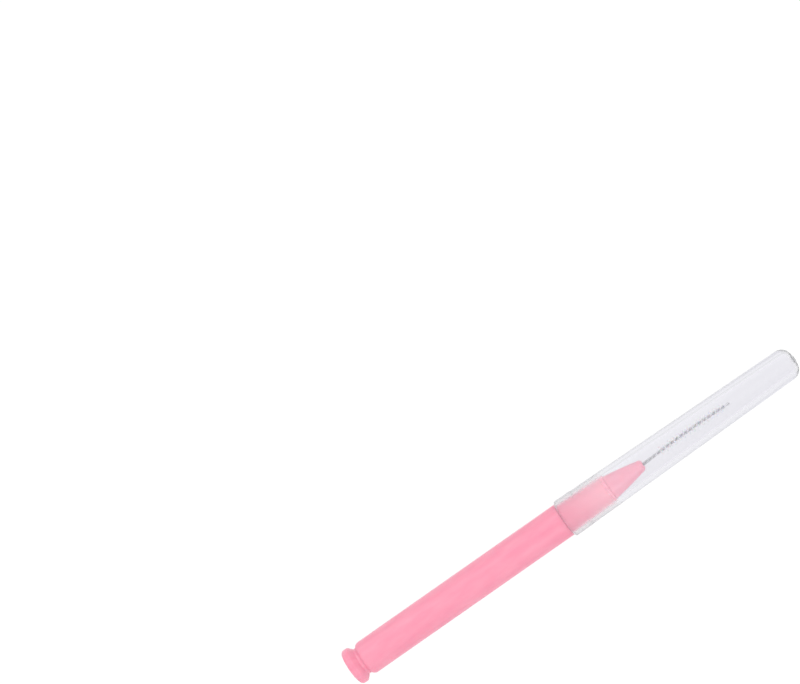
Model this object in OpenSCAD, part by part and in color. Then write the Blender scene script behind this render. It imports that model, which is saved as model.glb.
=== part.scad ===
// Interdental brush with a clear cap, lying on its side.
// A moulded handle ends in a pointed nose that holds one wire, folded double and twisted.
// The wire pinches the filaments, and the cap pushes onto a tapered spigot behind the nose.
// Millimetres. The axis runs along X, the cap's closed end points to +X, and the floor is Z = 0.

/* [Handle] */
// Length from the rear face to the shoulder that the cap's mouth meets
grip_l = 48.5; // [44:0.5:60]
// Diameter of the grip
grip_d = 6.65; // [6.2:0.05:7]
// Rounding where the grip starts, behind which the neck lies
grip_round = 1.05; // [0.7:0.05:1.3]
// Diameter of the neck between the end flange and the grip
neck_d = 5.4; // [4.8:0.1:5.8]
// Length of the neck's narrowest stretch
neck_l = 0.45; // [0.3:0.05:1.5]
// Width of the shoulder ring that stops the cap
shoulder_w = 0.42; // [0.36:0.02:0.5]

/* [End flange] */
// Diameter of the flange at the handle's rear end
flange_d = 7.2; // [6.8:0.1:7.4]
// Thickness of the flange's rim
flange_t = 1.6; // [1.2:0.05:2]
// Rounding of the rim's rear edge
flange_rear_round = 0.65; // [0.4:0.05:0.8]
// Rounding of the rim's front edge
flange_front_round = 0.35; // [0.2:0.05:0.4]
// Length of the slope from the rim down to the neck
flange_slope_l = 0.65; // [0.4:0.05:1]
// Diameter of the shallow recess round the moulding gate
gate_recess_d = 1.8; // [1.4:0.1:3]
// Depth of that recess
gate_recess_depth = 0.2; // [0.15:0.05:0.4]
// Diameter of the gate's stub in the recess
gate_stub_d = 0.7; // [0.5:0.1:1]
// Height of the stub, less than the recess is deep
gate_stub_h = 0.1; // [0.05:0.01:0.14]

/* [Spigot and nose] */
// Length of the tapered spigot under the cap
spigot_l = 10.3; // [7:0.1:13]
// Diameter of the spigot at its front edge
spigot_front_d = 5.24; // [5.1:0.02:5.4]
// Height of the step from the spigot down to the nose
nose_step = 0.23; // [0.1:0.01:0.4]
// Length of the nose from the step to its tip
nose_l = 7.4; // [5:0.1:10]
// Diameter of the nose just behind its rounded tip
nose_tip_d = 2.2; // [2:0.1:2.6]
// Rounding of the nose's tip
nose_tip_round = 0.55; // [0.3:0.05:0.55]
// How far the nose swells past a straight cone
nose_swell = 0.08; // [0:0.01:0.3]

/* [Wire] */
// Diameter of the wire
wire_d = 0.29; // [0.2:0.01:0.32]
// Gap between the two legs, filled by the pinched filaments
leg_gap = 0.03; // [0.02:0.005:0.04]
// Length of the wire in front of the nose
wire_out_l = 19.1; // [14:0.1:26]
// Length of the wire inside the nose
wire_root_l = 9; // [5:0.5:12]
// Length in front of the nose where the legs run side by side before the twist
wire_straight_l = 1.1; // [0.5:0.1:2]
// Length over which the twist starts, and over which it ends at the tip
twist_ramp_l = 0.9; // [0.5:0.1:1.5]
// Length of one whole turn of the twist
twist_pitch = 2.05; // [1.6:0.05:3]
// Direction of the legs at the nose, turned up from the Y axis
leg_angle = 45; // [0:1:180]
// How far the wire bows off the axis
wire_bow = 0.48; // [0:0.02:0.6]
// Share of the length in front of the nose at which the bow is greatest
wire_bow_peak_share = 0.72; // [0.5:0.02:1]
// Direction of the bow, turned up from the Y axis
wire_bow_angle = 45; // [0:1:90]
// Clearance round the wire in the nose's hole
wire_fit_gap = 0.02; // [0.01:0.01:0.05]

/* [Bristles] */
// Diameter over the bristles
bristle_d = 1.8; // [1.4:0.1:2.2]
// Length of the stretch of wire that holds bristles
bristle_l = 14.4; // [10:0.2:15]
// Bare wire between the bristles and the wire's tip
bristle_tip_gap = 0.8; // [0.6:0.1:1.5]
// Number of filaments, each of which shows as two bristles
filaments = 180; // [150:10:200]
// Share of the room along the wire that a filament fills
filament_share = 0.62; // [0.4:0.02:0.8]
// Width of the band in which the filaments lie pressed together
pinched_w = 0.4; // [0.34:0.02:0.5]

/* [Cap] */
// Length of the cap
cap_l = 51.45; // [47:0.05:60]
// Wall at the mouth, inside the raised band
cap_mouth_wall = 0.81; // [0.6:0.01:1]
// Wall beside the spigot's front edge
cap_seat_wall = 0.98; // [0.8:0.01:1.1]
// Height of the raised band round the mouth
cap_band_h = 0.05; // [0.03:0.01:0.12]
// Length of the band
cap_band_l = 3.8; // [2:0.1:6]
// Rounding of the mouth's outer edge
cap_mouth_round = 0.4; // [0.2:0.02:0.5]
// Diameter of the bore at its closed end
cap_bore_end_d = 3.72; // [3.6:0.02:4.2]
// Wall beside the bore's closed end
cap_end_wall = 1.21; // [1:0.01:1.4]
// Thickness of the closed end beside its dome
cap_end_t = 1; // [0.9:0.05:1.4]
// Height of the dome on the closed end
cap_dome_h = 0.12; // [0.06:0.01:0.2]
// Rounding of the closed end's edge
cap_end_round = 2.2; // [1.6:0.1:2.3]
// Rounding of the bore's closed end
cap_bore_round = 1.2; // [0.8:0.1:1.4]
// Diameter of the recess round the gate in the middle of the dome
cap_recess_d = 1.1; // [0.9:0.1:1.2]
// Depth of that recess below the dome's top
cap_recess_depth = 0.16; // [0.12:0.01:0.25]
// Diameter of the gate's stub in the recess
cap_stub_d = 0.5; // [0.4:0.1:0.7]
// Height of the stub, less than the recess is deep
cap_stub_h = 0.06; // [0.03:0.01:0.1]
// Clearance round the spigot
cap_fit_gap = 0.03; // [0.02:0.01:0.08]
// Gap between the cap's mouth and the handle's shoulder
cap_mouth_gap = 0.05; // [0.03:0.01:0.2]

/* [Hidden] */

// Finish of the turned surfaces and of the small roundings
$fn = 96;
round_steps = 8;
nose_steps = 10;
dome_steps = 8;

// Angles at which the roundings of the rim, the nose's tip and the cap's end meet their slopes
flange_front_angle = 47;
nose_tip_angle = 15;
cap_end_angle = 80;

// Radii and places along the axis, counted from the handle's rear face
grip_r = grip_d / 2;
neck_r = neck_d / 2;
flange_r = flange_d / 2;
spigot_r = grip_r - shoulder_w;
spigot_front_r = spigot_front_d / 2;
nose_r = spigot_front_r - nose_step;
nose_tip_r = nose_tip_d / 2;
grip_start = flange_t + flange_slope_l + neck_l;
grip_round_from = -acos(max(0, (neck_r - grip_r + grip_round) / grip_round));
spigot_end = grip_l + spigot_l;
nose_end = spigot_end + nose_l;
mouth_start = grip_l + cap_mouth_gap;
cap_end = mouth_start + cap_l;

// The two legs of the wire, each this far from the wire's own middle
leg_r = (wire_d + leg_gap) / 2;
wire_hole_r = leg_r + wire_d / 2 + wire_fit_gap;
wire_root = nose_end - wire_root_l;
wire_tip = nose_end + wire_out_l;
fold_start = wire_tip - leg_r - wire_d / 2;
twist_start = nose_end + wire_straight_l;
twist_l = fold_start - twist_start;

// The cap's bore follows the spigot first and then narrows to its closed end
bore_mouth_r = spigot_r + cap_fit_gap;
bore_seat_r = spigot_front_r + cap_fit_gap;
bore_end_r = cap_bore_end_d / 2;
bore_seat = spigot_end + cap_mouth_gap;
bore_end = cap_end - cap_dome_h - cap_end_t;
cap_mouth_r = bore_mouth_r + cap_mouth_wall;
cap_seat_r = bore_seat_r + cap_seat_wall;
cap_end_r = bore_end_r + cap_end_wall;

// The brush lies on the widest of its rims, and its middle is at X = 0
axis_h = max(cap_mouth_r + cap_band_h, flange_r);
rear_x = -cap_end / 2;

// Points of a round edge: place of its middle as [radius, distance], radius, and two angles
function round_edge(middle, r, from, to) = [
    for (i = [0:round_steps])
        let (a = from + (to - from) * i / round_steps)
        middle + r * [cos(a), sin(a)]
];

// Turns an outline of [radius, distance from the rear face] round the brush's axis
module turned(outline) {
    translate([rear_x, 0, axis_h])
        rotate([0, 90, 0])
            rotate_extrude()
                polygon(outline);
}

// The nose's outline between the step and the tip's rounding: a cone that swells a little
function nose_outline() = [
    for (i = [0:nose_steps])
        let (t = i / nose_steps)
        [
            nose_r + (nose_tip_r - nose_r) * t + 4 * nose_swell * t * (1 - t),
            spigot_end + (nose_l - nose_tip_round) * t
        ]
];

// The flange, neck, grip, spigot and nose are one moulding, with a hole for the wire's root
module handle() {
    outline = concat(
        [
            [0, gate_recess_depth - gate_stub_h],
            [gate_stub_d / 2, gate_recess_depth - gate_stub_h],
            [gate_stub_d / 2, gate_recess_depth],
            [gate_recess_d / 2, gate_recess_depth],
            [gate_recess_d / 2, 0]
        ],
        round_edge([flange_r - flange_rear_round, flange_rear_round], flange_rear_round, -90, 0),
        round_edge([flange_r - flange_front_round, flange_t - flange_front_round],
            flange_front_round, 0, flange_front_angle),
        [
            [neck_r, flange_t + flange_slope_l],
            [neck_r, grip_start]
        ],
        round_edge([grip_r - grip_round, grip_start + grip_round], grip_round, grip_round_from, 0),
        [
            [grip_r, grip_l],
            [spigot_r, grip_l],
            [spigot_front_r, spigot_end]
        ],
        nose_outline(),
        round_edge([nose_tip_r - nose_tip_round, nose_end - nose_tip_round], nose_tip_round,
            nose_tip_angle, 90),
        [
            [wire_hole_r, nose_end],
            [wire_hole_r, wire_root],
            [0, wire_root]
        ]
    );
    color("#fca3bb") turned(outline);
}

// How far the wire's middle lies off the axis: a bow that starts at the nose
function bow(x) =
    let (t = max(0, x - nose_end) / (wire_out_l * wire_bow_peak_share))
    wire_bow * (1 - (1 - t) * (1 - t));

// The wire's middle at a distance from the rear face
function wire_middle(x) = [
    rear_x + x,
    bow(x) * cos(wire_bow_angle),
    axis_h + bow(x) * sin(wire_bow_angle)
];

// Length of even twist that gives the same angle, as the twist starts and ends gently
function twisted(x) =
    let (t = min(max(0, x - twist_start), twist_l), rest = twist_l - t)
    t < twist_ramp_l ? t * t / (2 * twist_ramp_l)
    : rest > twist_ramp_l ? t - twist_ramp_l / 2
    : twist_l - twist_ramp_l - rest * rest / (2 * twist_ramp_l);

// How fast the twist turns there, as a share of its even rate
function twist_rate(x) =
    let (t = min(max(0, x - twist_start), twist_l))
    min(1, t / twist_ramp_l, (twist_l - t) / twist_ramp_l);

// The direction from the wire's middle to the first leg, and the one square to it
function leg_turn(x) = leg_angle - 360 * twisted(x) / twist_pitch;
function leg_dir(x) = [0, cos(leg_turn(x)), sin(leg_turn(x))];
function side_dir(x) = [0, -sin(leg_turn(x)), cos(leg_turn(x))];

// A ring of the wire's tube: its middle, the outward direction, and the way the wire runs
wire_sides = 8;
rings_per_turn = 8;
fold_steps = 6;
function unit(v) = v / norm(v);
function wire_ring(middle, out, run) =
    let (across = cross(run, out))
    [
        for (i = [0:wire_sides - 1])
            let (a = 360 * i / wire_sides)
            middle + wire_d / 2 * (cos(a) * out + sin(a) * across)
    ];

// A ring of the first leg (way = 1) or of the second, which runs back (way = -1)
function leg_ring(x, way) =
    let (
        slant = -2 * PI * leg_r / twist_pitch * twist_rate(x),
        run = unit([way, 0, 0] + slant * side_dir(x))
    )
    wire_ring(wire_middle(x) + way * leg_r * leg_dir(x), way * leg_dir(x), run);

// Places of the rings along a leg, and the rings of the fold at the tip
leg_places = concat(
    [wire_root, nose_end, twist_start],
    [
        let (count = ceil(rings_per_turn * twist_l / twist_pitch))
        for (i = [1:count]) twist_start + twist_l * i / count
    ]
);
function fold_ring(a) =
    let (out = cos(a) * leg_dir(fold_start) + sin(a) * [1, 0, 0])
    wire_ring(wire_middle(fold_start) + leg_r * out, out,
        cos(a) * [1, 0, 0] - sin(a) * leg_dir(fold_start));

// One wire from the root of one leg, round the fold at the tip, and back to the other root
module core_wire() {
    last = len(leg_places) - 1;
    rings = concat(
        [for (x = leg_places) leg_ring(x, 1)],
        [for (i = [1:fold_steps - 1]) fold_ring(180 * i / fold_steps)],
        [for (i = [last:-1:0]) leg_ring(leg_places[i], -1)]
    );
    color("#a9a8ad") tube(rings);
}

// The triangles of a four-sided patch whose corners run clockwise as seen from outside
function patch(a, b, c, d) = [[a, b, c], [a, c, d]];

// A closed tube through a list of rings that all have the same number of points
module tube(rings) {
    sides = len(rings[0]);
    last = len(rings) - 1;
    walls = [
        for (i = [0:last - 1], k = [0:sides - 1])
            let (a = i * sides + k, b = i * sides + (k + 1) % sides)
            each patch(a, a + sides, b + sides, b)
    ];
    ends = [
        for (k = [1:sides - 2])
            each [[0, k, k + 1], [last * sides, last * sides + k + 1, last * sides + k]]
    ];
    polyhedron([for (ring = rings) each ring], concat(walls, ends), 4);
}

// The filaments lie side by side as a thin band between the legs, and each shows at both edges.
// A filament takes its share of one step along the wire, and bare band lies between two.
bristle_start = fold_start - bristle_tip_gap - bristle_l;
filament_step = bristle_l / filaments;
filament_w = filament_step * filament_share;
band_places = [
    for (i = [0:filaments - 1])
        let (x = bristle_start + i * filament_step)
        each [x, x + filament_w]
];

// The band's four corners at one place, and a filament's end past one edge of the band
function band_corner(x, edge, face) =
    wire_middle(x) + edge * pinched_w / 2 * side_dir(x) + face * leg_gap / 2 * leg_dir(x);
function band_ring(x) = [
    band_corner(x, 1, 1),
    band_corner(x, 1, -1),
    band_corner(x, -1, -1),
    band_corner(x, -1, 1)
];
function filament_end(i, edge) =
    let (
        x = band_places[2 * i],
        reach = edge * (bristle_d - pinched_w) / 2 * side_dir(x + filament_w / 2)
    )
    [for (corner = [[x, 1], [x, -1], [x + filament_w, -1], [x + filament_w, 1]])
        band_corner(corner[0], edge, corner[1]) + reach];

// A wall round a filament, from the band's four points to the four points of its end
function filament_walls(root, end, way) = [
    for (k = [0:3])
        let (n = (k + 1) % 4)
        each way > 0
            ? patch(root[k], root[n], end + n, end + k)
            : patch(root[n], root[k], end + k, end + n)
];

module bristles() {
    count = 2 * filaments;
    band = [for (x = band_places) each band_ring(x)];
    ends = [
        for (i = [0:filaments - 1])
            each concat(filament_end(i, 1), filament_end(i, -1))
    ];
    first_end = 4 * count;
    faces = [
        for (j = [0:count - 2])
            let (a = 4 * j, b = a + 4)
            each concat(
                patch(a, a + 3, b + 3, b),
                patch(a + 2, a + 1, b + 1, b + 2)
            )
    ];
    bare_edges = [
        for (j = [1:2:count - 3])
            let (a = 4 * j, b = a + 4)
            each concat(
                patch(a + 1, a, b, b + 1),
                patch(a + 3, a + 2, b + 2, b + 3)
            )
    ];
    strands = [
        for (i = [0:filaments - 1])
            let (a = 8 * i, b = a + 4, e = first_end + 8 * i)
            each concat(
                filament_walls([a, a + 1, b + 1, b], e, -1),
                patch(e + 3, e + 2, e + 1, e),
                filament_walls([a + 3, a + 2, b + 2, b + 3], e + 4, 1),
                patch(e + 4, e + 5, e + 6, e + 7)
            )
    ];
    band_ends = concat(
        patch(0, 1, 2, 3),
        patch(first_end - 1, first_end - 2, first_end - 3, first_end - 4)
    );
    color("#f4f2f3") polyhedron(concat(band, ends), concat(faces, bare_edges, strands, band_ends), 4);
}

// The clear cap: two long cones with a raised band at the mouth and a round, blunt closed end
module cap() {
    slope = (cap_mouth_r - cap_seat_r) / (bore_seat - mouth_start);
    band_end_r = cap_mouth_r - slope * cap_band_l;
    dome_r = cap_end_r - cap_end_round;
    recess_share = cap_recess_d / 2 / dome_r;
    recess_floor = cap_end - cap_recess_depth;
    outside = concat(
        [[bore_mouth_r, mouth_start]],
        round_edge([cap_mouth_r + cap_band_h - cap_mouth_round, mouth_start + cap_mouth_round],
            cap_mouth_round, -90, 0),
        [
            [band_end_r + cap_band_h, mouth_start + cap_band_l - cap_band_h],
            [band_end_r, mouth_start + cap_band_l],
            [cap_seat_r, bore_seat]
        ],
        round_edge([dome_r, cap_end - cap_dome_h - cap_end_round], cap_end_round, 0, cap_end_angle),
        [
            for (i = [1:dome_steps])
                let (t = 1 + (recess_share - 1) * i / dome_steps)
                [dome_r * t, cap_end - cap_dome_h * t * t]
        ],
        [
            [cap_recess_d / 2, recess_floor],
            [cap_stub_d / 2, recess_floor],
            [cap_stub_d / 2, recess_floor + cap_stub_h],
            [0, recess_floor + cap_stub_h]
        ]
    );
    inside = concat(
        [[0, bore_end]],
        round_edge([bore_end_r - cap_bore_round, bore_end - cap_bore_round], cap_bore_round, 90, 0),
        [[bore_seat_r, bore_seat]]
    );
    color([0.93, 0.925, 0.945, 0.45]) turned(concat(outside, inside));
}

handle();
core_wire();
bristles();
cap();
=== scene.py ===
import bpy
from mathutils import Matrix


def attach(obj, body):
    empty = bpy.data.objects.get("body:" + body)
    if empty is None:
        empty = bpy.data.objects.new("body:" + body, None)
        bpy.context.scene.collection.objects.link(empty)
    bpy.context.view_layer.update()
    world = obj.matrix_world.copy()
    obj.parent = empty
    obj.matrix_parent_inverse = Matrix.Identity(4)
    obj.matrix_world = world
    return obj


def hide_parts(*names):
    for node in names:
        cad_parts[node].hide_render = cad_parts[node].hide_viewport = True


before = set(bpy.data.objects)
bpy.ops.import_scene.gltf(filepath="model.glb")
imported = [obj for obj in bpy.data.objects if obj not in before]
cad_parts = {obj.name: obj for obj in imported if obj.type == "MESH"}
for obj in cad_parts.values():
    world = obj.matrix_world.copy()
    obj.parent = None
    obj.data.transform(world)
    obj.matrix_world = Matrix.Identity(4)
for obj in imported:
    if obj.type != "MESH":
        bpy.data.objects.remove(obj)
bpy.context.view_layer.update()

import math

import bmesh
import bpy
from mathutils import Matrix, Vector

# Handle
# One pink polypropylene moulding: end flange, neck, round grip, shoulder, tapered spigot and a
# pointed nose. It is injected round the root of the wire, through a gate in the middle of its rear
# face, in a two-part mould that leaves a faint line along each side.

MM = 0.001
REAR_X = -50 * MM
AXIS_H = 3.795 * MM


def rounded(corners):
    """The outline through corners of (distance from the rear face, radius, rounding), all in mm."""
    largest_turn = math.radians(11)
    outline = []
    for i, (x, r, rounding) in enumerate(corners):
        here = Vector((x, r))
        if rounding == 0 or i in (0, len(corners) - 1):
            outline.append(here)
            continue
        back = Vector(corners[i - 1][:2]) - here
        on = Vector(corners[i + 1][:2]) - here
        half = back.angle(on) / 2
        trim = min(rounding / math.tan(half), 0.49 * back.length, 0.49 * on.length)
        back.normalize()
        on.normalize()
        middle = here + (back + on).normalized() * trim / math.cos(half)
        first, last = here + back * trim - middle, here + on * trim - middle
        turn = last.angle_signed(first)
        steps = max(2, math.ceil(abs(turn) / largest_turn))
        for k in range(steps + 1):
            outline.append(middle + Matrix.Rotation(turn * k / steps, 2) @ first)
    return outline


def arc(x, r, radius, start, end):
    """Corners along a round edge about (x, r), between angles from straight out to the tip."""
    steps = 8
    angles = [math.radians(start + (end - start) * k / steps) for k in range(steps + 1)]
    return [(x + radius * math.sin(a), r + radius * math.cos(a), 0) for a in angles]


def with_rings(outline):
    """The outline with more points on its straight stretches, so that they stay evenly shaded."""
    longest, beside = 3.0, 0.06
    full = [outline[0]]
    for start, end in zip(outline, outline[1:]):
        length = (end - start).length
        if length > 4 * beside:
            inner = max(1, math.ceil((length - 2 * beside) / longest))
            places = [beside + (length - 2 * beside) * k / inner for k in range(inner + 1)]
            full += [start.lerp(end, place / length) for place in places]
        full.append(end)
    return full


def turned(name, outline, sides):
    """A closed body turned round the brush's axis from an outline in millimetres."""
    body = bmesh.new()
    rings = []
    for x, r in outline:
        place = REAR_X + x * MM
        if r < 1e-6:
            rings.append([body.verts.new((place, 0, AXIS_H))])
            continue
        rings.append([
            body.verts.new((
                place,
                r * MM * math.cos(2 * math.pi * k / sides),
                AXIS_H + r * MM * math.sin(2 * math.pi * k / sides),
            ))
            for k in range(sides)
        ])
    for one, two in zip(rings, rings[1:]):
        for k in range(sides):
            n = (k + 1) % sides
            corners = [one[k % len(one)], one[n % len(one)], two[n % len(two)], two[k % len(two)]]
            body.faces.new(list(dict.fromkeys(corners)))
    bmesh.ops.recalc_face_normals(body, faces=body.faces)
    mesh = bpy.data.meshes.new(name)
    body.to_mesh(mesh)
    body.free()
    mesh.shade_smooth()
    mesh.set_sharp_from_angle(angle=math.radians(32))
    piece = bpy.data.objects.new(name, mesh)
    bpy.context.scene.collection.objects.link(piece)
    return piece


class Field:
    """A value in a node tree. Sums on it add the nodes that work them out."""

    def __init__(self, tree, socket=None):
        self.tree = tree
        self.socket = socket

    def node(self, kind, settings=None, sockets=None, give=0):
        """Adds a node, with its settings first and then its sockets, and returns one output."""
        made = self.tree.nodes.new(kind)
        for name, value in (settings or {}).items():
            setattr(made, name, value)
        for name, value in (sockets or {}).items():
            if isinstance(value, Field):
                self.tree.links.new(value.socket, self.socket_of(made.inputs, name))
            else:
                self.socket_of(made.inputs, name).default_value = value
        return Field(self.tree, self.socket_of(made.outputs, give))

    @staticmethod
    def socket_of(sockets, name):
        """The socket with this number or identifier, because two sockets can share a name."""
        if isinstance(name, int):
            return sockets[name]
        return next(socket for socket in sockets if socket.identifier == name)

    def math(self, operation, *values):
        return self.node("ShaderNodeMath", {"operation": operation}, dict(enumerate(values)))

    def __add__(self, other):
        return self.math("ADD", self, other)

    def __radd__(self, other):
        return self.math("ADD", other, self)

    def __sub__(self, other):
        return self.math("SUBTRACT", self, other)

    def __rsub__(self, other):
        return self.math("SUBTRACT", other, self)

    def __mul__(self, other):
        return self.math("MULTIPLY", self, other)

    def __rmul__(self, other):
        return self.math("MULTIPLY", other, self)

    def __truediv__(self, other):
        return self.math("DIVIDE", self, other)

    def __rtruediv__(self, other):
        return self.math("DIVIDE", other, self)

    def __pow__(self, other):
        return self.math("POWER", self, other)

    def __rpow__(self, other):
        return self.math("POWER", other, self)

    def __abs__(self):
        return self.math("ABSOLUTE", self)

    def at_least(self, other):
        return self.math("MAXIMUM", self, other)

    def at_most(self, other):
        return self.math("MINIMUM", self, other)

    def parts(self):
        """The three parts of a vector."""
        return [
            self.node("ShaderNodeSeparateXYZ", sockets={"Vector": self}, give=k) for k in range(3)
        ]

    def noise(self, size, detail=3.0):
        """Noise whose grains are about this size, in metres, on the coordinates held here."""
        return self.node(
            "ShaderNodeTexNoise", sockets={"Vector": self, "Scale": 1 / size, "Detail": detail}
        )

    def blend(self, dark, light):
        """A colour between two, by the share held here."""
        return self.node(
            "ShaderNodeMix",
            {"data_type": "RGBA"},
            {"Factor_Float": self, "A_Color": (*dark, 1), "B_Color": (*light, 1)},
            give="Result_Color",
        )


def finish_named(name):
    """A new material, the values of its tree, its object coordinates and its surface shader."""
    material = bpy.data.materials.new(name)
    material.use_nodes = True
    values = Field(material.node_tree)
    place = values.node("ShaderNodeTexCoord", give="Object")
    return material, values, place, material.node_tree.nodes["Principled BSDF"]


def feed(surface, **sockets):
    """Links or sets the sockets of a surface shader, named with _ for each space."""
    for name, value in sockets.items():
        socket = surface.inputs[name.replace("_", " ")]
        if isinstance(value, Field):
            value.tree.links.new(value.socket, socket)
        else:
            socket.default_value = value


grip_r, neck_r, flange_r = 3.325, 2.7, 3.6
spigot_r, spigot_front_r, nose_r, nose_tip_r = 2.905, 2.62, 2.39, 1.1
neck_start, grip_start, grip_l, spigot_end, nose_end = 2.25, 2.7, 48.5, 58.8, 66.2
grip_round, tip_round, nose_swell = 1.05, 0.55, 0.08
flange_t, flange_rear_round, flange_front_round = 1.401, 0.65, 0.36
gate_r, recess_r, recess_depth, gate_top = 0.35, 0.9, 0.2, 0.1
dimple_r, dimple_depth = 0.36, 0.07

lit_through_l = 7.5
# The second pink is painted light: the handle's pink made lighter where light shines through the
# thin plastic
thick_pink, lit_through_pink = (0.727, 0.212, 0.318), (0.855, 0.468, 0.535)
pink_plastic, values, place, surface = finish_named("pink_plastic")
along, _, up = place.parts()
stretched = place.node("ShaderNodeMapping", sockets={"Vector": place, "Scale": (0.25, 1, 1)})
flow = stretched.noise(1.4 * MM)
grain = place.noise(0.35 * MM, 4)
peel = place.noise(0.9 * MM, 2)
mould_line = 1 - (abs(up - AXIS_H) / (0.07 * MM)).at_most(1)
# From the shoulder to the nose the plastic thins, and its colour is painted lighter there: painted
# light for the light that the thin plastic lets through
lit_through = ((along - (REAR_X + grip_l * MM)) / (lit_through_l * MM)).at_least(0).at_most(1)
surface_height = peel * 0.6 + grain * 0.25 + mould_line * 0.8
feed(
    surface,
    Base_Color=(flow * 0.4 + lit_through * 0.6).blend(thick_pink, lit_through_pink),
    Roughness=0.3 + grain * 0.14,
    IOR=1.49,
    Subsurface_Weight=0.35,
    Subsurface_Radius=(1.0, 0.42, 0.5),
    Subsurface_Scale=0.9 * MM,
    Normal=values.node(
        "ShaderNodeBump",
        sockets={"Strength": 0.35, "Distance": 0.02 * MM, "Height": surface_height},
    ),
)

rear = [
    (gate_top, 0, 0),
    (gate_top, gate_r, 0.05),
    (recess_depth, gate_r, 0.03),
    (recess_depth, recess_r, 0.08),
    (0, recess_r, 0.04),
    (0, flange_r, flange_rear_round),
    (flange_t, flange_r, flange_front_round),
    (neck_start, neck_r, 0.16),
    (grip_start, neck_r, 0),
]
grip = arc(grip_start + grip_round, grip_r - grip_round, grip_round, -66, 0) + [
    (grip_l, grip_r, 0.05),
    (grip_l, spigot_r, 0.02),
    (spigot_end, spigot_front_r, 0.12),
    (spigot_end, nose_r, 0.1),
]
cone_steps = 12
cone = [
    (
        spigot_end + (nose_end - tip_round - spigot_end) * t,
        nose_r + (nose_tip_r - nose_r) * t + 4 * nose_swell * t * (1 - t),
        0,
    )
    for t in [k / cone_steps for k in range(1, cone_steps + 1)]
]
tip = arc(nose_end - tip_round, nose_tip_r - tip_round, tip_round, 15, 85)
# The plastic closes round the two legs of the wire, in a small dimple
dimple = [
    (nose_end, dimple_r + 0.06, 0.04),
    (nose_end - dimple_depth, dimple_r, 0.03),
    (nose_end - dimple_depth, 0, 0),
]
handle_outline = with_rings(rounded(rear + grip + cone + tip + dimple))
handle = turned("handle_moulding", handle_outline, sides=128)
handle.data.materials.append(pink_plastic)
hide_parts("handle")
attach(handle, "brush")

# Core wire
# One length of thin stainless steel wire. It is folded double, and its two legs are twisted
# left-handed round each other with the filaments between them. The root is moulded into the nose,
# and the fold is the blunt tip. It bows a little to one side.


def new_rule(name, sizes):
    """A geometry tree with named inputs. Returns the tree and a value for each input."""
    tree = bpy.data.node_groups.new(name, "GeometryNodeTree")
    tree.interface.new_socket("Piece", in_out="OUTPUT", socket_type="NodeSocketGeometry")
    for label, value in sizes.items():
        kind = "NodeSocketInt" if isinstance(value, int) else "NodeSocketFloat"
        tree.interface.new_socket(label, in_out="INPUT", socket_type=kind)
    given = tree.nodes.new("NodeGroupInput")
    return tree, {label: Field(tree, given.outputs[label]) for label in sizes}


def made_by(name, tree, sizes, piece):
    """Ends a geometry tree with the piece, gives it its sizes and returns the plain mesh object."""
    tree.links.new(piece.socket, tree.nodes.new("NodeGroupOutput").inputs["Piece"])
    holder = bpy.data.objects.new(name + "_rule", bpy.data.meshes.new(name + "_rule"))
    bpy.context.scene.collection.objects.link(holder)
    modifier = holder.modifiers.new("rule", "NODES")
    modifier.node_group = tree
    for item in tree.interface.items_tree:
        if item.in_out == "INPUT":
            modifier[item.identifier] = sizes[item.name]
    made = holder.evaluated_get(bpy.context.evaluated_depsgraph_get())
    mesh = bpy.data.meshes.new_from_object(made)
    mesh.name = name
    holder.modifiers.remove(modifier)
    bpy.data.objects.remove(holder)
    mesh.shade_smooth()
    mesh.set_sharp_from_angle(angle=math.radians(50))
    finished = bpy.data.objects.new(name, mesh)
    bpy.context.scene.collection.objects.link(finished)
    return finished


darker_root_l = 2.5
dull_steel, bright_steel = (0.3, 0.3, 0.31), (0.68, 0.68, 0.69)
steel, values, place, surface = finish_named("drawn_steel")
streaks = place.noise(0.05 * MM, 3)
dulled = place.noise(0.4 * MM, 2)
# The wire's colour is darker over its first stretch in front of the nose
along = place.parts()[0]
past_root = ((along - (REAR_X + nose_end * MM)) / (darker_root_l * MM)).at_least(0).at_most(1)
feed(
    surface,
    Base_Color=(dulled * 0.4 + past_root * 0.6).blend(dull_steel, bright_steel),
    Metallic=1.0,
    Roughness=0.28 + streaks * 0.12,
    Normal=values.node(
        "ShaderNodeBump", sockets={"Strength": 0.3, "Distance": 0.004 * MM, "Height": streaks}
    ),
)

wire_path = {
    "Nose end": REAR_X + nose_end * MM,
    "Twist start": REAR_X + 67.3 * MM,
    "Twist length": 18.03 * MM,
    "Ramp length": 0.9 * MM,
    "Turn length": 2.05 * MM,
    "Leg angle": math.radians(45),
    "Bow": 0.34 * MM,
    "Bow peak": 11.5 * MM,
    "Bow angle": math.radians(45),
    "Axis height": AXIS_H,
}


def wire_middle(x, size):
    """Where the wire's middle lies at a place along the axis, as the other two coordinates."""
    off_peak = 1 - (x - size["Nose end"]).at_least(0) / size["Bow peak"]
    bow = size["Bow"] * (1 - off_peak * off_peak)
    y = bow * size["Bow angle"].math("COSINE", size["Bow angle"])
    z = bow * size["Bow angle"].math("SINE", size["Bow angle"])
    return y, z + size["Axis height"]


def leg_turn(x, size):
    """The angle of the first leg there. The twist starts and ends gently, over the ramps."""
    ramp, length = size["Ramp length"], size["Twist length"]
    t = (x - size["Twist start"]).at_least(0).at_most(length)
    start, rest = t.at_most(ramp), (length - t).at_most(ramp)
    even = (t - ramp).at_least(0).at_most(length - 2 * ramp)
    twisted = (start * start - rest * rest) / (2 * ramp) + even + ramp / 2
    return size["Leg angle"] - 2 * math.pi * twisted / size["Turn length"]


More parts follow.
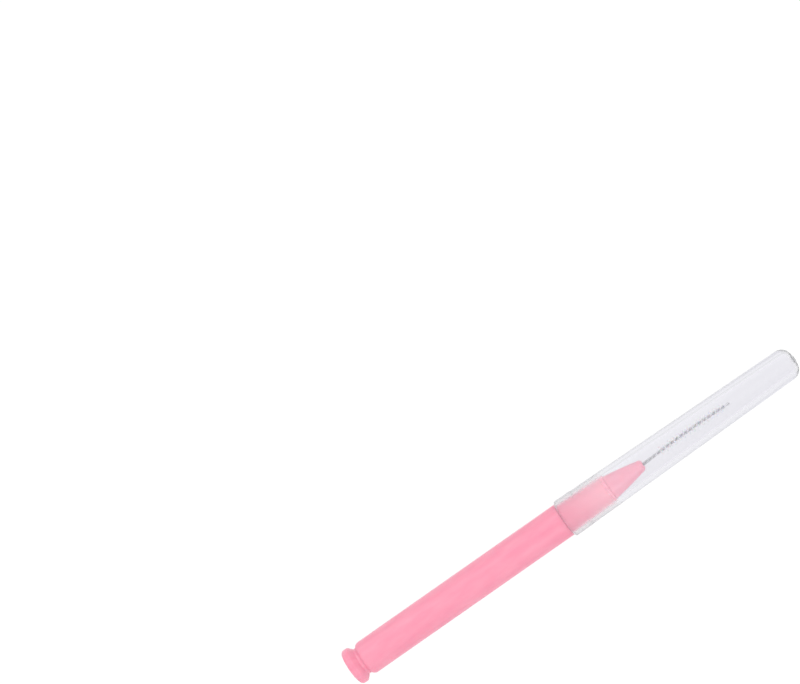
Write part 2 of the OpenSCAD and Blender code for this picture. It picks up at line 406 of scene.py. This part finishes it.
wire_sizes = wire_path | {
    "Wire radius": 0.145 * MM,
    "Leg radius": 0.16 * MM,
    "Root": REAR_X + 57.2 * MM,
    "Points": 1500,
    "Sides": 12,
}
tree, size = new_rule("twisted_wire", wire_sizes)
line = Field(tree).node("GeometryNodeCurvePrimitiveLine", sockets={"End": (1, 0, 0)})
points = line.node(
    "GeometryNodeResampleCurve", {"mode": "COUNT"}, {"Curve": line, "Count": size["Points"]}
)
fold_start = size["Twist start"] + size["Twist length"]
half_fold = size["Leg radius"] * (math.pi / 2)
half_path = fold_start - size["Root"] + half_fold
# From -1 at the root of one leg, through 0 at the fold's tip, to 1 at the root of the other
share = line.node("GeometryNodeSplineParameter", give="Factor") * 2 - 1
from_tip = abs(share) * half_path
side = share.math("SIGN", share)
x = fold_start - (from_tip - half_fold).at_least(0)
round_tip = from_tip.at_most(half_fold) / size["Leg radius"]
y, z = wire_middle(x, size)
turn = leg_turn(x, size)
out = size["Leg radius"] * side * round_tip.math("SINE", round_tip)
path = line.node(
    "ShaderNodeCombineXYZ",
    sockets={
        "X": x + size["Leg radius"] * round_tip.math("COSINE", round_tip),
        "Y": y + out * turn.math("COSINE", turn),
        "Z": z + out * turn.math("SINE", turn),
    },
)
bent = line.node("GeometryNodeSetPosition", sockets={"Geometry": points, "Position": path})
ring = line.node(
    "GeometryNodeCurvePrimitiveCircle",
    sockets={"Resolution": size["Sides"], "Radius": size["Wire radius"]},
)
tube = line.node(
    "GeometryNodeCurveToMesh", sockets={"Curve": bent, "Profile Curve": ring, "Fill Caps": True}
)
real = line.node("GeometryNodeRealizeInstances", sockets={"Geometry": tube})
core_wire = made_by(
    "core_wire_twisted",
    tree,
    wire_sizes,
    line.node("GeometryNodeSetMaterial", sockets={"Geometry": real, "Material": steel}),
)
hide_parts("core_wire")
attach(core_wire, "brush")

# Bristles
# Fine white nylon filaments. Each lies across the wire, pinched between the two legs, and its two
# halves stand out as bristles. The twist spreads them into a double screw, and they are trimmed to
# one diameter. They are soft, so no two stand quite alike.

shaded_nylon, white_nylon = (0.8, 0.8, 0.81), (0.93, 0.93, 0.94)
nylon, _, place, surface = finish_named("white_nylon")
shade = place.noise(0.3 * MM, 2)
feed(
    surface,
    Base_Color=shade.blend(shaded_nylon, white_nylon),
    Roughness=0.28 + shade * 0.2,
    IOR=1.53,
    Subsurface_Weight=0.3,
    Subsurface_Scale=0.05 * MM,
    Alpha=0.5,
)

bristle_sizes = wire_path | {
    "Filaments": 240,
    "Points each": 9,
    "Sides": 5,
    "Filament radius": 0.023 * MM,
    "Pinched radius": 0.016 * MM,
    "First place": REAR_X + 69.795 * MM,
    "Bristled length": 14.6 * MM,
    "Reach": 0.9 * MM,
    "Unevenness": 0.07,
    "Lean": 0.09 * MM,
    "Spread": math.radians(11),
    "Seed": 7,
}
tree, size = new_rule("pinched_filaments", bristle_sizes)
line = Field(tree).node("GeometryNodeCurvePrimitiveLine", sockets={"End": (1, 0, 0)})
one = line.node(
    "GeometryNodeResampleCurve", {"mode": "COUNT"}, {"Curve": line, "Count": size["Points each"]}
)
row = line.node("GeometryNodePoints", sockets={"Count": size["Filaments"]})
copies = line.node("GeometryNodeInstanceOnPoints", sockets={"Points": row, "Instance": one})
all_of_them = line.node("GeometryNodeRealizeInstances", sockets={"Geometry": copies})
index = line.node("GeometryNodeInputIndex")
number = (index / size["Points each"]).math("FLOOR", index / size["Points each"] + 0.0001)
# From -1 at one end of a filament, through 0 between the legs, to 1 at its other end
along = (index - number * size["Points each"]) / (size["Points each"] - 1) * 2 - 1
side = along.math("SIGN", along)
end_number = number * 2 + side


def uneven(least, most, each, added):
    """A random number for each filament, or for each of its two ends."""
    return line.node(
        "FunctionNodeRandomValue",
        {"data_type": "FLOAT"},
        {"Min_001": least, "Max_001": most, "ID": each, "Seed": size["Seed"] + added},
        give="Value_001",
    )


row_share = (number + uneven(0.15, 0.85, number, 1)) / size["Filaments"]
x = size["First place"] + row_share * size["Bristled length"]
y, z = wire_middle(x, size)
away = abs(along)
turn = leg_turn(x, size) + size["Spread"] * uneven(-1, 1, end_number, 2) * away
out = size["Reach"] * along * (1 - size["Unevenness"] * uneven(0, 1, end_number, 3))
lean = size["Lean"] * uneven(-1, 1, end_number, 4) * away * away
path = line.node(
    "ShaderNodeCombineXYZ",
    sockets={
        "X": x + lean,
        "Y": y - out * turn.math("SINE", turn),
        "Z": z + out * turn.math("COSINE", turn),
    },
)
laid = line.node("GeometryNodeSetPosition", sockets={"Geometry": all_of_them, "Position": path})
ring = line.node(
    "GeometryNodeCurvePrimitiveCircle", sockets={"Resolution": size["Sides"], "Radius": 1.0}
)
swelling = (size["Filament radius"] - size["Pinched radius"]) * (away * 4).at_most(1)
thickness = size["Pinched radius"] + swelling
strands = line.node(
    "GeometryNodeCurveToMesh",
    sockets={"Curve": laid, "Profile Curve": ring, "Scale": thickness, "Fill Caps": True},
)
real = line.node("GeometryNodeRealizeInstances", sockets={"Geometry": strands})
bristles = made_by(
    "bristle_filaments",
    tree,
    bristle_sizes,
    line.node("GeometryNodeSetMaterial", sockets={"Geometry": real, "Material": nylon}),
)
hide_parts("bristles")
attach(bristles, "brush")

# Cap
# One clear moulding with a slightly milky tint, closed at its end. Its long tapered bore slides
# over the brush and pushes onto the spigot, and a low band stiffens the mouth. It is injected
# through a gate in a small recess in the closed end.

mouth, band_end, seat_end, bore_end, cap_end = 48.52, 52.3, 58.85, 99.2, 100.0
mouth_r, seat_r, bore_end_r, bore_round = 2.935, 2.65, 1.86, 0.9
outer_mouth_r, outer_band_r, outer_seat_r, mouth_round = 3.795, 3.7526, 3.63, 0.4
band_h, band_slope_l = 0.05, 0.05
dome_r, dome_h, end_round = 0.87, 0.12, 2.2
recess_r, gate_r, recess_x, gate_x, rim_x = 0.55, 0.25, 99.84, 99.9, 99.952
past_spigot_start, past_spigot_l = 58.0, 2.0
bore_limit_r, bore_fade = 3.5, 0.1
matte_end_start, matte_end_l = 98.8, 0.5

clear_plastic, values, place, surface = finish_named("clear_plastic")
along, across, up = place.parts()
stretched = place.node("ShaderNodeMapping", sockets={"Vector": place, "Scale": (0.2, 1, 1)})
waves = stretched.noise(1.6 * MM, 2)
haze = place.noise(0.6 * MM, 4)
# Past the spigot the cap's colour is tinted a little darker and lavender: partly the plastic's own
# cast, partly painted shade for the greyer floor seen through its hollow. Over the spigot it is
# left clear. Its bore there and its whole closed end are slightly matte
past_spigot = ((along - (REAR_X + past_spigot_start * MM)) / (past_spigot_l * MM)).at_least(0).at_most(1)
off_axis = (across * across + (up - AXIS_H) * (up - AXIS_H)) ** 0.5
in_bore = ((bore_limit_r * MM - off_axis) / (bore_fade * MM)).at_least(0).at_most(1)
seat_matte = (1 - past_spigot) * in_bore
end_matte = ((along - (REAR_X + matte_end_start * MM)) / (matte_end_l * MM)).at_least(0).at_most(1)
# The darker tint past the spigot is partly painted shade
tint = values.node(
    "ShaderNodeMix",
    {"data_type": "RGBA", "blend_type": "MULTIPLY"},
    {
        "Factor_Float": 1.0,
        "A_Color": past_spigot.blend((1, 1, 1), (0.973, 0.969, 0.984)),
        "B_Color": haze.blend((0.985, 0.985, 0.985), (1, 1, 1)),
    },
    give="Result_Color",
)
feed(
    surface,
    Base_Color=tint,
    Roughness=0.008 + haze * 0.01 + seat_matte * 0.3 + end_matte * 0.18,
    IOR=1.49,
    Transmission_Weight=1.0,
    Normal=values.node(
        "ShaderNodeBump", sockets={"Strength": 0.04, "Distance": 0.01 * MM, "Height": waves}
    ),
)

absorb = values.node(
    "ShaderNodeVolumeAbsorption",
    sockets={"Color": (0.5, 0.5, 0.6, 1), "Density": 120.0},
    give="Volume",
)
ending = clear_plastic.node_tree.nodes["Material Output"]
clear_plastic.node_tree.links.new(absorb.socket, ending.inputs["Volume"])

walls = [
    (bore_end, 0, 0),
    (bore_end, bore_end_r, bore_round),
    (seat_end, seat_r, 0),
    (mouth, mouth_r, 0.05),
    (mouth, outer_mouth_r, mouth_round),
    (band_end, outer_band_r, 0.04),
    (band_end + band_slope_l, outer_band_r - band_h, 0.04),
    (seat_end, outer_seat_r, 0),
]
edge = arc(cap_end - dome_h - end_round, dome_r, end_round, 0, 80)
dome = [
    (cap_end - dome_h * t * t, dome_r * t, 0) for t in [1 - 0.3 * k / 4 for k in range(1, 5)]
]
gate_recess = [
    (rim_x, recess_r, 0.04),
    (recess_x, recess_r, 0.05),
    (recess_x, gate_r, 0.02),
    (gate_x, gate_r, 0.02),
    (gate_x, 0, 0),
]
cap_outline = with_rings(rounded(walls + edge + dome + gate_recess))
cap = turned("cap_moulding", cap_outline, sides=384)
cap.data.materials.append(clear_plastic)
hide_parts("cap")
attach(cap, "cover")

# Studio
# The brush lies on a white table that glows, in a white tent that is a little darker low down. A
# small lamp beside the camera lights the table alone, so it is white round the brush and greyer
# under the cap. Two soft lamps light the handle, the wire and the bristles.

table_half, table_top_z = 3.0, -0.00005
table = bpy.data.objects.new("table", bpy.data.meshes.new("table"))
bpy.context.scene.collection.objects.link(table)
table.data.from_pydata(
    [
        (-table_half, -table_half, table_top_z),
        (table_half, -table_half, table_top_z),
        (table_half, table_half, table_top_z),
        (-table_half, table_half, table_top_z),
    ],
    [],
    [(0, 1, 2, 3)],
)
white_top, _, _, surface = finish_named("white_top")
feed(
    surface,
    Base_Color=(0.05, 0.05, 0.05, 1),
    Roughness=0.9,
    Specular_IOR_Level=0.0,
    Emission_Color=(1, 1, 1, 1),
    Emission_Strength=0.95,
)
table.data.materials.append(white_top)

tent = bpy.data.worlds.new("tent")
tent.use_nodes = True
sky_place = Field(tent.node_tree).node("ShaderNodeTexCoord", give="Generated")
pale_height = 0.4
height = (sky_place.parts()[2] / pale_height).at_least(0).at_most(1)
sky = height.blend((0.75, 0.75, 0.75), (1, 1, 1))
tent.node_tree.links.new(sky.socket, tent.node_tree.nodes["Background"].inputs["Color"])
tent.node_tree.nodes["Background"].inputs["Strength"].default_value = 1.15
bpy.context.scene.world = tent


def lamp_at(place, name, shape, sizes, watts, lit):
    """An area lamp that points at the origin and lights only the objects of one collection."""
    lamp = bpy.data.lights.new(name, "AREA")
    lamp.shape = shape
    lamp.size, lamp.size_y = sizes
    lamp.energy = watts
    placed = bpy.data.objects.new(name, lamp)
    bpy.context.scene.collection.objects.link(placed)
    placed.location = place
    placed.rotation_euler = (-Vector(place)).to_track_quat("-Z", "Y").to_euler()
    placed.light_linking.receiver_collection = lit
    return placed


lit_table = bpy.data.collections.new("lit_table")
lit_table.objects.link(table)
lit_brush = bpy.data.collections.new("lit_brush")
for piece in (handle, core_wire, bristles):
    lit_brush.objects.link(piece)
lamp_at((0.124, -0.714, 0.689), "table_lamp", "DISK", (0.03, 0.03), 15.0, lit_table)
soft_lamp = lamp_at((-0.1, -0.05, 0.7), "soft_lamp", "RECTANGLE", (0.5, 0.35), 0.7, lit_brush)
fill_lamp = lamp_at((0.1, -0.69, 0.12), "fill_lamp", "RECTANGLE", (0.4, 0.2), 1.0, lit_brush)
fill_lamp.data.specular_factor = 0.3
# The clear cap throws no shadow of these two on the brush inside it
for brush_lamp in (soft_lamp, fill_lamp):
    brush_lamp.light_linking.blocker_collection = lit_brush

# Camera
# A long lens looks down on the brush nearly square to its axis, from a little towards the cap's
# end, and is rolled so that the brush rises to the upper right and lies low right of the middle.

pixel = 0.1837 * MM
picture_width = 800
right_of_middle, below_middle = 171.3, 172.6
towards_end, upwards = 0.124, 0.663
rise = math.radians(35.4)
camera_data = bpy.data.cameras.new("camera")
camera_data.lens = 180
camera_data.sensor_width = 36
camera_data.clip_start = 0.02
camera_data.clip_end = 20
distance = pixel * picture_width * camera_data.lens / camera_data.sensor_width
towards = Vector((towards_end, -math.sqrt(1 - towards_end**2 - upwards**2), upwards))
brush_way = Vector((1, 0, 0))
brush_way = (brush_way - brush_way.dot(towards) * towards).normalized()
square_way = towards.cross(brush_way)
right = math.cos(rise) * brush_way - math.sin(rise) * square_way
above = math.sin(rise) * brush_way + math.cos(rise) * square_way
stand = Vector((0, 0, AXIS_H)) + distance * towards
stand += pixel * (below_middle * above - right_of_middle * right)
camera = bpy.data.objects.new("camera", camera_data)
bpy.context.scene.collection.objects.link(camera)
turned_to = Matrix((right, above, towards)).transposed().to_4x4()
camera.matrix_world = Matrix.Translation(stand) @ turned_to
bpy.context.scene.camera = camera

bpy.context.scene.view_settings.view_transform = "Standard"
bpy.context.scene.view_settings.look = "None"
bpy.context.scene.cycles.blur_glossy = 0.0
